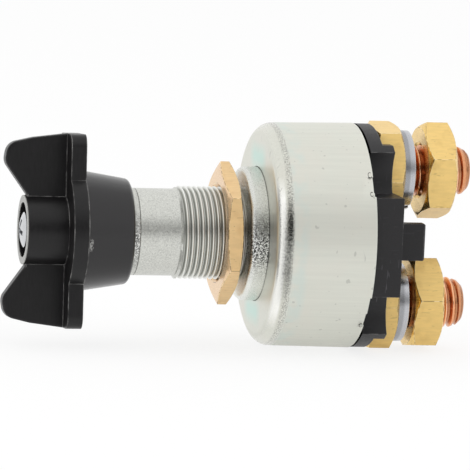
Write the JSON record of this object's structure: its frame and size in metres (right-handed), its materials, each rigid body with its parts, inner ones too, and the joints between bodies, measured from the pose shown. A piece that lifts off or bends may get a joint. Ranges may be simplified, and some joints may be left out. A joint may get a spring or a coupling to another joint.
{
  "type": "rotary battery disconnect switch",
  "caption": "Panel-mounted rotary battery disconnect switch: winged knob on a threaded neck, plated steel cup and a moulded base with copper terminal studs.",
  "frame": {"origin": "on the switch axis, in the plane of the boss face that seats against the panel", "axes": "+X along the switch axis from the knob towards the terminals, +Z along the line of the two studs"},
  "size_m": [0.0912, 0.0437, 0.0447],
  "materials": {
    "knob_plastic": "satin moulded black nylon",
    "zinc_plated_steel": "bright zinc plated",
    "spindle_steel": "turned steel",
    "seal_rubber": "black nitrile rubber",
    "spring_steel": "zinc plated spring steel",
    "carrier_plastic": "brown phenolic moulding",
    "copper": "bright turned copper",
    "cast_zinc": "as-cast zinc alloy, finely grained",
    "tan_brass": "turned brass, satin",
    "nut_brass": "turned brass, satin with fine scratches",
    "plated_cup": "zinc plated drawn steel, satin",
    "base_plastic": "charcoal moulded plastic"
  },
  "bodies": {
    "housing": {"thrust_washer": "spindle_steel", "neck_casting": "cast_zinc", "panel_nut": "tan_brass", "cup_housing": "plated_cup", "terminal_base": "base_plastic", "stud_upper": "copper", "stud_nut_upper": "nut_brass", "lock_washer_upper": "spring_steel", "terminal_nut_upper": "nut_brass", "stud_lower": "copper", "stud_nut_lower": "nut_brass", "lock_washer_lower": "spring_steel", "terminal_nut_lower": "nut_brass"},
    "rotor": {"knob": "knob_plastic", "knob_screw": "zinc_plated_steel", "spindle": "spindle_steel", "spindle_oring": "seal_rubber", "contact_spring": "spring_steel", "contact_carrier": "carrier_plastic", "contact_bridge": "copper"}
  },
  "joints": [
    {"name": "knob_turn", "type": "hinge", "parent": "housing", "child": "rotor", "pos_m": [0, 0, 0], "axis": [-1, 0, 0], "range_deg": [0, 90]}
  ]
}
